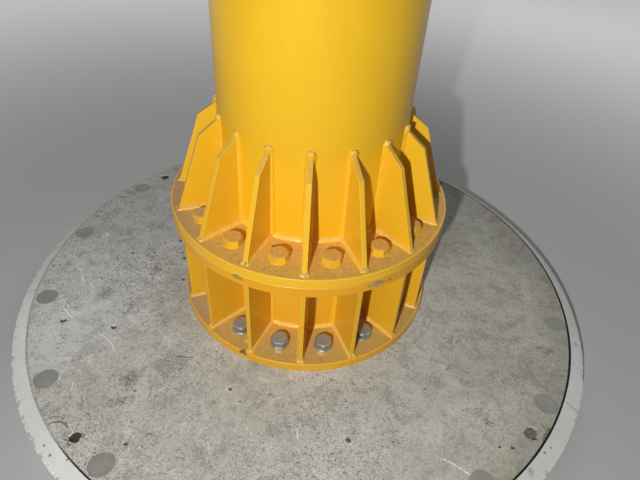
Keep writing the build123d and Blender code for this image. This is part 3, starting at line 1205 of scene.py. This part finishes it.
holes = strongest(
    use(air_holes, Scale=34.0, Share=0.16, Radius=0.10),
    use(air_holes, Scale=85.0, Share=0.20, Radius=0.22),
    use(air_holes, Scale=140.0, Share=0.20, Radius=0.26) * 0.8,
    *(drawn(*line) * 0.65 for line in DARK_STROKES),
    *(spot(x, y, size, 0.9, 0.25, wide=0.75, deep=0.02) for x, y, size in DARK_SPOTS),
)
colour = mix(holes * 0.85, colour, (0.045, 0.040, 0.034))
# Painted shadow on the slab's lip at the open joint.
colour = mix(painted_gap_shadow(slab_place, SLAB_R - 0.0024, SLAB_R - 0.0012), colour, GAP_SHADOW_BLACK)
feed(slab_shader["Base Color"], colour)
feed(slab_shader["Roughness"], crumbs * 0.2 + 0.72)
feed(slab_shader["Normal"], relief(crumbs * 0.45 + mottling * 0.65 - holes * 1.2, 0.0018))
print("slab concrete", len(tree.nodes), "nodes")

# %% [markdown]
# The slab itself is a disc. Its plug pockets, sockets and broken edges are cut with closed shapes
# by a Boolean modifier, which is then applied: bmesh has no operator for it. A cut can leave
# slivers, so the mesh is mended afterwards. Its level top is shaded flat, because smooth shading
# would show the long triangles that the cuts leave.

# %% Cut and mend


def upright_disc(bm, centre, radius, thickness, steps=48):
    """A closed upright cylinder round this centre."""
    made = bmesh.ops.create_cone(bm, cap_ends=True, segments=steps, radius1=radius, radius2=radius,
                                 depth=thickness)["verts"]
    bmesh.ops.translate(bm, vec=centre, verts=made)


def drill(bm, centre, radius, depth, steps=32, above=0.01):
    """A cylinder to cut with, which reaches down from a little above this place."""
    upright_disc(bm, centre + Vector((0, 0, (above - depth) / 2)), radius, depth + above, steps)


def cut(piece, bm):
    """Cuts these closed shapes out of the piece for good."""
    mesh = bpy.data.meshes.new("cutter")
    bm.to_mesh(mesh)
    bm.free()
    cutter = bpy.data.objects.new("cutter", mesh)
    bpy.context.scene.collection.objects.link(cutter)
    away = piece.modifiers.new("cut", "BOOLEAN")
    away.operation, away.solver, away.object, away.use_self = "DIFFERENCE", "EXACT", cutter, True
    bpy.context.view_layer.update()
    shaped = bpy.data.meshes.new_from_object(piece.evaluated_get(bpy.context.evaluated_depsgraph_get()))
    piece.modifiers.remove(away)
    old, piece.data = piece.data, shaped
    bpy.data.objects.remove(cutter)
    for used_up in (old, mesh):
        bpy.data.meshes.remove(used_up)


def close_slivers(piece, dist=5e-5):
    """Joins corners that almost meet, and fills the small holes between them."""
    bm = bmesh.new()
    bm.from_mesh(piece.data)
    bmesh.ops.remove_doubles(bm, verts=bm.verts, dist=dist)
    bmesh.ops.dissolve_degenerate(bm, edges=bm.edges, dist=dist)
    bmesh.ops.holes_fill(bm, edges=[edge for edge in bm.edges if edge.is_boundary], sides=6)
    bmesh.ops.recalc_face_normals(bm, faces=bm.faces)
    for face in bm.faces:
        face.smooth = face.normal.z < 0.9999
    print("edges without two faces", sum(not edge.is_manifold for edge in bm.edges))
    bm.to_mesh(piece.data)
    bm.free()


# %% [markdown]
# The broken edge of a socket is made of two uneven balls, flattened, and each of the two largest
# dark spots is a shallow hole of the same kind.

# %% Slab with its sockets
SLAB_ARRIS, PLUG_ARRIS = 0.0022, 0.0005
POCKET_HALF, PLUG_HALF, SOCKET_HALF = 0.0314, 0.0310, 0.0150
POCKET_DEPTH, SOCKET_DEPTH = 0.006, 0.055
PLUG_PLACES = [around(PLUG_R, (index + 0.5) * BAY, PLINTH_TOP) for index in range(BAYS)]
SOCKET_PLACES = [around(PLUG_R, SOCKET_ANGLE + index * math.tau / 4, PLINTH_TOP) for index in range(4)]

bm = bmesh.new()
upright_disc(bm, Vector((0, 0, PLINTH_TOP / 2)), SLAB_R, PLINTH_TOP, steps=240)
round_arrises(bm, SLAB_ARRIS)
slab = finish_piece("plinth_slab", bm, [slab_concrete], ["plinth_disc"])
slab.modifiers.clear()

round_holes, broken_edges, shallow_holes = bmesh.new(), bmesh.new(), bmesh.new()
for centre in PLUG_PLACES:
    drill(round_holes, centre, POCKET_HALF, POCKET_DEPTH, steps=48)
for index, centre in enumerate(SOCKET_PLACES):
    drill(round_holes, centre, SOCKET_HALF, SOCKET_DEPTH)
    first, second = around(0.004, index * 1.9), around(0.014, index * 1.9 + 2.4)
    ball(broken_edges, centre + first, (0.0185, 0.0185, 0.0070), index * 3.7, 0.6)
    ball(broken_edges, centre + second, (0.0105, 0.0095, 0.0050), index * 5.1 + 1, 0.6)
ball(shallow_holes, Vector((-0.721, -0.253, PLINTH_TOP)), (0.0105, 0.0105, 0.0040), 9.1)
ball(shallow_holes, Vector((-0.565, -0.269, PLINTH_TOP)), (0.0090, 0.0090, 0.0035), 4.3)
for shapes in (round_holes, broken_edges, shallow_holes):
    cut(slab, shapes)
close_slivers(slab)
print(slab.name, len(slab.data.polygons), "faces")

# %% [markdown]
# Each plug is a smooth disc of grey mortar, trowelled almost level with the slab. It could be a
# round spot in the slab's colour, but its edge catches the light, so it is a disc in its pocket.

# %% Mortar plugs
plug_mortar, shader, place = new_material("plug_mortar", Roughness=0.66)
clouds = rise(grain(place, 22.0, 5.0, 0.6), 0.35, 0.7)
colour = mix(clouds, (0.255, 0.255, 0.230), (0.310, 0.308, 0.280))
feed(shader["Base Color"], mix(rise(grain(place, 160.0, 4.0), 0.55, 0.7) * 0.35, colour, (0.34, 0.335, 0.31)))
feed(shader["Normal"], relief(grain(place, 90.0, 4.0), 0.0005))

bm = bmesh.new()
for index, centre in enumerate(PLUG_PLACES):
    upright_disc(bm, centre - Vector((0, 0, 0.00325 + 0.0004 * (index % 3))), PLUG_HALF, 0.0055)
round_arrises(bm, PLUG_ARRIS, segments=1)
finish_piece("mortar_plugs", bm, [plug_mortar])

# %% [markdown]
# Each socket has filled up with brown dirt, one of them nearly to the top. It is a plain disc deep
# in the hole, and a strong bump makes its crumbs. It is drier and paler on the right.

# %% Dirt in the sockets
socket_dirt, shader, place = new_material("socket_dirt", Roughness=0.95)
lumps = grain(place, 140.0, 5.0, 0.65)
dry = rise(axes(place)[0], -0.2, 0.2)
dark_dirt = mix(dry, (0.030, 0.024, 0.018), (0.120, 0.096, 0.080))
pale_dirt = mix(dry, (0.085, 0.068, 0.052), (0.240, 0.200, 0.172))
feed(shader["Base Color"], mix(rise(lumps, 0.35, 0.7), dark_dirt, pale_dirt))
feed(shader["Normal"], relief(lumps, 0.0025))

bm = bmesh.new()
for centre, depth in zip(SOCKET_PLACES, (0.0025, 0.0080, 0.0050, 0.0110)):
    upright_disc(bm, centre - Vector((0, 0, depth + 0.006)), SOCKET_HALF, 0.012, steps=32)
finish_piece("socket_dirt", bm, [socket_dirt])

# %% [markdown]
# The ring round the slab is pale, fine mortar, darker towards its foot and trodden grey at the back. Its few
# cracks and holes are the slab's effects again, and where its edge is knocked, the rough core shows. The knocks
# come from an attribute that the ring's mesh carries.

# %% Rim mortar
RIM_CRACKS = [
    (-0.915, -0.131, -0.858, -0.128, 0.003, 0.0030, 0.2), (-0.915, 0.045, -0.860, 0.094, 0.004, 0.0036, 0.1),
    (0.748, -0.447, 0.785, -0.475, 0.0, 0.0024, 0.2),
]
RIM_HOLES = [
    (-0.597, -0.662, 0.0045), (-0.620, -0.638, 0.0035), (-0.545, -0.677, 0.0035), (0.591, -0.648, 0.0100),
    (0.859, -0.228, 0.0090), (0.642, -0.598, 0.0040), (0.662, -0.583, 0.0035),
]
rim_mortar, shader, place = new_material("rim_mortar", Roughness=0.78)
to_right, to_back, to_top = axes(place)
clouds = grain(place, 6.0, 6.0, 0.65)
crumbs = grain(place, 130.0, 5.0, 0.65)
colour = mix(rise(clouds, 0.3, 0.72), (0.885, 0.89, 0.850), (0.965, 0.97, 0.940))
colour = tinted(colour, rise(to_back, -0.20, -0.60), (0.80, 0.80, 0.80))
colour = tinted(colour, rise(to_right, 0.20, 0.50), (0.95, 0.95, 0.94))
colour = mix(rise(crumbs, 0.54, 0.64) * 0.28, colour, (0.44, 0.435, 0.40))
# Darker towards the ring's foot.
colour = mix(rise(to_top, 0.066, 0.020) * 0.6, colour, (0.24, 0.235, 0.215))
colour = mix(rise(to_back + clouds * 0.1, 0.30, 0.50) * 0.15, colour, (0.335, 0.330, 0.300))
bare = rise(attribute("knocked"), 0.05, 0.5) * rise(crumbs, 0.38, 0.52)
colour = mix(bare * 0.7, colour, (0.36, 0.352, 0.325))
holes = strongest(
    use(air_holes, Scale=60.0, Share=0.10, Radius=0.16),
    *(drawn(*line) * 0.8 for line in RIM_CRACKS),
    *(spot(x, y, size, 1.1, 0.4, wide=1.0, height=0.085) * (0.75 if size < 0.006 else 0.35)
      for x, y, size in RIM_HOLES),
)
colour = mix(holes, colour, (0.125, 0.120, 0.105))
# Painted shadow on the ring's inner lip at the open joint.
feed(shader["Base Color"], mix(painted_gap_shadow(place, SLAB_R + 0.0072, SLAB_R + 0.0062), colour, GAP_SHADOW_BLACK))
feed(shader["Normal"], relief(crumbs * 0.6 - holes + clouds * 0.8, 0.0016))
print("rim mortar", len(tree.nodes), "nodes")

# %% [markdown]
# The joint between slab and ring stands open on the right, and the shadow in it is painted black there. On the
# left it is full of pale dirt. The same material also covers the ring's inner face, which shows in the open
# joint.

# %% Dirt and painted shadow in the joint
joint_dirt, shader, place = new_material("joint_dirt", Roughness=0.95)
lumps = grain(place, 120.0, 5.0, 0.65)
# Black on the right is painted shadow, and pale on the left is dirt.
colour = mix(rise(axes(place)[0], -0.35, -0.62), GAP_SHADOW_BLACK, (0.46, 0.455, 0.41))
feed(shader["Base Color"], mix(rise(lumps, 0.50, 0.64) * 0.5, colour, (0.075, 0.066, 0.055)))
feed(shader["Normal"], relief(lumps, 0.0015))
print("joint dirt", len(tree.nodes), "nodes")

# %% [markdown]
# The ring slopes down to its outer edge, which was cast a little high on the right and has been
# knocked about since, most of all on the left. A quarter of it is spun with many steps and copied
# four times. A bump could draw the knocks, but they show on the outline, so the mesh itself is
# moved: noise pushes the outer arris in, never out, and the ring keeps its size.

# %% Rim with its knocked edge
RIM_INNER, RIM_STEP, RIM_FALL = SLAB_R + 0.0055, 0.003, 0.030
RIM_EDGE = PLINTH_TOP - RIM_FALL
HIGH_ANGLE, HIGH_HALF_WIDTH, HIGH_RISE = 57.0, 27.0, 0.012
KNOCK_REACH, KNOCK_DEPTH, KNOCK_DROP = 0.012, 0.005, 0.003

slope = [(RIM_R + (RIM_INNER - RIM_R) * i / 9, RIM_EDGE + (RIM_FALL - RIM_STEP) * i / 9) for i in range(10)]
side = [(SLAB_R, 0.0), (RIM_R - 0.003, 0.0)] + [(RIM_R, height) for height in (0.003, 0.030, 0.052, 0.062)]
bm = copy_into(bmesh.new(), turned(side + slope, steps=360, angle=math.tau / 4), round_the_axis(4))
bmesh.ops.remove_doubles(bm, verts=bm.verts, dist=1e-5)
knocked = bm.verts.layers.float.new("knocked")
for corner in bm.verts:
    radius = corner.co.xy.length
    from_arris = Vector((radius - RIM_R, corner.co.z - RIM_EDGE)).length
    angle = math.atan2(corner.co.x, -corner.co.y)
    if corner.co.z > 0.065:
        share = (radius - RIM_INNER) / (RIM_R - RIM_INNER)
        from_middle = min(1.0, abs(math.degrees(angle) - HIGH_ANGLE) / HIGH_HALF_WIDTH)
        corner.co.z += HIGH_RISE * share * (0.5 + 0.5 * math.cos(math.pi * from_middle))
    if from_arris > KNOCK_REACH:
        continue
    much = 0.55 + 0.45 * math.cos(angle + math.radians(60))
    bite = sum(noise.noise(corner.co * scale) * part for scale, part in ((55.0, 1.0), (160.0, 0.9), (12.0, 0.35)))
    bite = max(0.0, bite - 0.05) * (1.0 - from_arris / KNOCK_REACH) * much
    corner[knocked] = min(1.0, bite * 1.8)
    inward = corner.co.xy.normalized() * min(KNOCK_DEPTH, bite * 0.0075)
    corner.co -= Vector((inward.x, inward.y, min(KNOCK_DROP, bite * 0.0035)))
for face in bm.faces:
    middle = face.calc_center_median()
    if middle.xy.length < RIM_INNER - 0.0005 and middle.z > 0.001:
        face.material_index = 1
finish_piece("plinth_rim_cast", bm, [rim_mortar, joint_dirt], ["plinth_rim"], sharp=32.0)

# %% [markdown]
# The joint's filling is a thin turned ring, sunk low on the right. Its top rises to the brim on the
# left, and noise leaves it uneven.

# %% Joint filling
bm = turned(block(SLAB_R - 0.0024, SLAB_R + 0.0060, 0.070, 0.086), steps=360)
for corner in bm.verts:
    if corner.co.z > 0.08:
        left = min(1.0, max(0.0, (-corner.co.x - 0.50) / 0.14))
        sunk = 0.008 * max(0.0, noise.noise(corner.co * 8.0) - 0.10)
        corner.co.z += left * (0.0134 - sunk) + 0.0005 * noise.noise(corner.co * 60.0)
finish_piece("joint_filling", bm, [joint_dirt])

# %% [markdown]
# The floor is only a stage. It is plain and pale, and it keeps the plinth's shadow. Far from the
# lamp it would turn grey, so what the camera sees of it, straight or in a gloss, has a little light
# of its own, which grows with the distance from the plinth.

# %% Floor
pale_floor, shader, place = new_material("pale_floor", Roughness=0.8, Base_Color=(0.46, 0.46, 0.45),
                                         Emission_Color=(1.0, 1.0, 1.0))
rays = add("LightPath", give=None)
seen = strongest(rays["Is Camera Ray"], rays["Is Glossy Ray"])
feed(shader["Emission Strength"], seen * (rise(length(place), 0.9, 4.5) * 0.40 + 0.015))

bm = bmesh.new()
bmesh.ops.create_grid(bm, x_segments=1, y_segments=1, size=14.0)
mesh = bpy.data.meshes.new("floor")
bm.to_mesh(mesh)
bm.free()
mesh.materials.append(pale_floor)
floor = bpy.data.objects.new("floor", mesh)
floor.location.z = -0.0005
bpy.context.scene.collection.objects.link(floor)
print("floor at", floor.location.z)

# %% [markdown]
# Last, the view layer is brought up to date.

# %% Update
bpy.context.view_layer.update()
